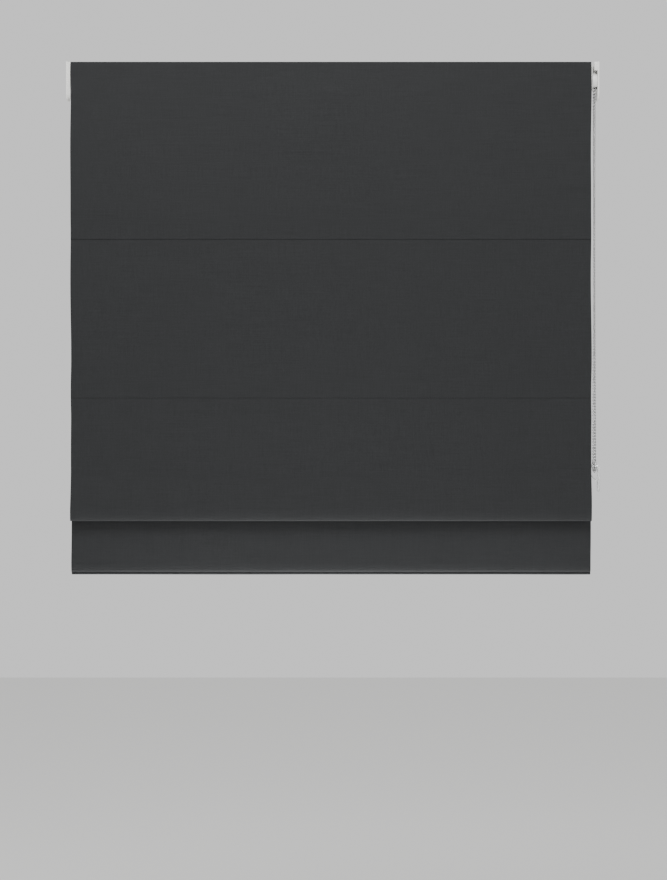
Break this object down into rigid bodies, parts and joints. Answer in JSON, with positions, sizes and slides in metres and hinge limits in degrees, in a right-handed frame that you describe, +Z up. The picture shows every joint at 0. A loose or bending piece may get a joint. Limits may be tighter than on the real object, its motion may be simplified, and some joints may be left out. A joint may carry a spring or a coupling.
{
  "type": "roman blind",
  "caption": "Flat fabric Roman blind for a window recess, half raised, with a chain-driven head and a chain safety tidy.",
  "frame": {"origin": "centre of the middle bracket's top face, which bears on the lintel", "axes": "+X along the head to the chain end (right, seen from the room), +Y to the window, +Z up"},
  "size_m": [1.072, 0.059, 1.03],
  "materials": {
    "anthracite_fabric": "matt dim-out weave with a soft sheen",
    "lining_fabric": "plain ivory lining, close weave",
    "white_plastic": "moulded, satin",
    "clear_plastic": "moulded, milky clear",
    "aluminium": "extruded, mill finish",
    "steel": "zinc plated",
    "spring_steel": "oiled",
    "bead_metal": "nickel plated",
    "white_tape": "woven hook and loop",
    "fibreglass": "drawn rod",
    "white_cord": "braided"
  },
  "bodies": {
    "head": {"headrail": "aluminium", "hook_tape": "white_tape", "loop_tape": "white_tape", "end_plate_left": "white_plastic", "end_plate_right": "white_plastic", "idle_bearing": "white_plastic", "chain_guard": "white_plastic", "clutch_housing": "white_plastic", "clutch_spring": "spring_steel", "spool_cradle_left": "white_plastic", "spool_cradle_mid": "white_plastic", "spool_cradle_right": "white_plastic", "bracket_left": "steel", "bracket_mid": "steel", "bracket_right": "steel", "bracket_screw_left": "steel", "bracket_screw_mid": "steel", "bracket_screw_right": "steel", "panel_0": "anthracite_fabric", "draw_0": "anthracite_fabric", "lift_cord_left": "white_cord", "lift_cord_mid": "white_cord", "lift_cord_right": "white_cord", "bead_chain": "bead_metal", "chain_tidy_body": "clear_plastic", "chain_tidy_pulley": "clear_plastic", "chain_tidy_axle": "steel", "chain_tidy_screw": "steel"},
    "drive": {"drive_shaft": "aluminium", "clutch_hub": "steel", "chain_wheel": "white_plastic", "cord_spool_left": "white_plastic", "cord_spool_mid": "white_plastic", "cord_spool_right": "white_plastic"},
    "cam_left": {"bracket_cam_left": "white_plastic"},
    "cam_mid": {"bracket_cam_mid": "white_plastic"},
    "cam_right": {"bracket_cam_right": "white_plastic"},
    "fold_0": {"crease_0": "anthracite_fabric"},
    "section_1": {"rod_1": "fibreglass", "rod_pocket_1": "lining_fabric", "panel_1": "anthracite_fabric", "draw_1": "anthracite_fabric"},
    "fold_1": {"crease_1": "anthracite_fabric"},
    "section_2": {"rod_2": "fibreglass", "rod_pocket_2": "lining_fabric", "panel_2": "anthracite_fabric", "draw_2": "anthracite_fabric"},
    "fold_2": {"crease_2": "anthracite_fabric"},
    "section_3": {"rod_3": "fibreglass", "rod_pocket_3": "lining_fabric", "panel_3": "anthracite_fabric", "back_2": "anthracite_fabric"},
    "fold_3": {"crease_3": "anthracite_fabric"},
    "flap": {"rod_4": "fibreglass", "rod_pocket_4": "lining_fabric", "flap": "anthracite_fabric", "back_3": "anthracite_fabric", "bottom_bar": "aluminium", "bar_cap_left": "white_plastic", "bar_cap_right": "white_plastic"}
  },
  "joints": [
    {"name": "fold_0_rise", "type": "slide", "parent": "head", "child": "fold_0", "axis": [0, -0.2652, 0.9642], "range_m": [0, 0.1452], "deforming": ["draw_0", "lift_cord_left", "lift_cord_mid", "lift_cord_right"]},
    {"name": "rod_1_rise", "type": "slide", "parent": "fold_0", "child": "section_1", "axis": [0, 0.2652, 0.9642], "range_m": [0, 0.1452]},
    {"name": "fold_1_rise", "type": "slide", "parent": "section_1", "child": "fold_1", "axis": [0, -0.1961, 0.9806], "range_m": [0, 0.15501], "deforming": ["draw_1"]},
    {"name": "rod_2_rise", "type": "slide", "parent": "fold_1", "child": "section_2", "axis": [0, 0.1961, 0.9806], "range_m": [0, 0.15501]},
    {"name": "fold_2_rise", "type": "slide", "parent": "section_2", "child": "fold_2", "axis": [0, -0.1074, 0.9942], "range_m": [-0.06488, 0.08801], "deforming": ["draw_2"]},
    {"name": "rod_3_rise", "type": "slide", "parent": "fold_2", "child": "section_3", "axis": [0, 0.1074, 0.9942], "range_m": [-0.06488, 0.08801], "deforming": ["back_2"]},
    {"name": "fold_3_rise", "type": "slide", "parent": "section_3", "child": "fold_3", "axis": [0, 0, 1], "range_m": [-0.143, 0]},
    {"name": "rod_4_rise", "type": "slide", "parent": "fold_3", "child": "flap", "axis": [0, 0, 1], "range_m": [-0.143, 0], "deforming": ["back_3"]},
    {"name": "drive_spin", "type": "hinge", "parent": "head", "child": "drive", "pos_m": [0, -0.0026, -0.038], "axis": [1, 0, 0], "range_deg": [-790, 1065]},
    {"name": "cam_left_turn", "type": "hinge", "parent": "head", "child": "cam_left", "pos_m": [-0.4, 0, -0.0058], "axis": [0, 0, 1], "range_deg": [0, 90]},
    {"name": "cam_mid_turn", "type": "hinge", "parent": "head", "child": "cam_mid", "pos_m": [0, 0, -0.0058], "axis": [0, 0, 1], "range_deg": [0, 90]},
    {"name": "cam_right_turn", "type": "hinge", "parent": "head", "child": "cam_right", "pos_m": [0.4, 0, -0.0058], "axis": [0, 0, 1], "range_deg": [0, 90]}
  ],
  "couplings": [
    {"joint": "rod_1_rise", "follows": "fold_0_rise", "ratio": 1},
    {"joint": "rod_2_rise", "follows": "fold_1_rise", "ratio": 1},
    {"joint": "rod_3_rise", "follows": "fold_2_rise", "ratio": 1},
    {"joint": "rod_4_rise", "follows": "fold_3_rise", "ratio": 1},
    {"joint": "drive_spin", "follows": "fold_2_rise", "rad_per_m": 204.99}
  ]
}
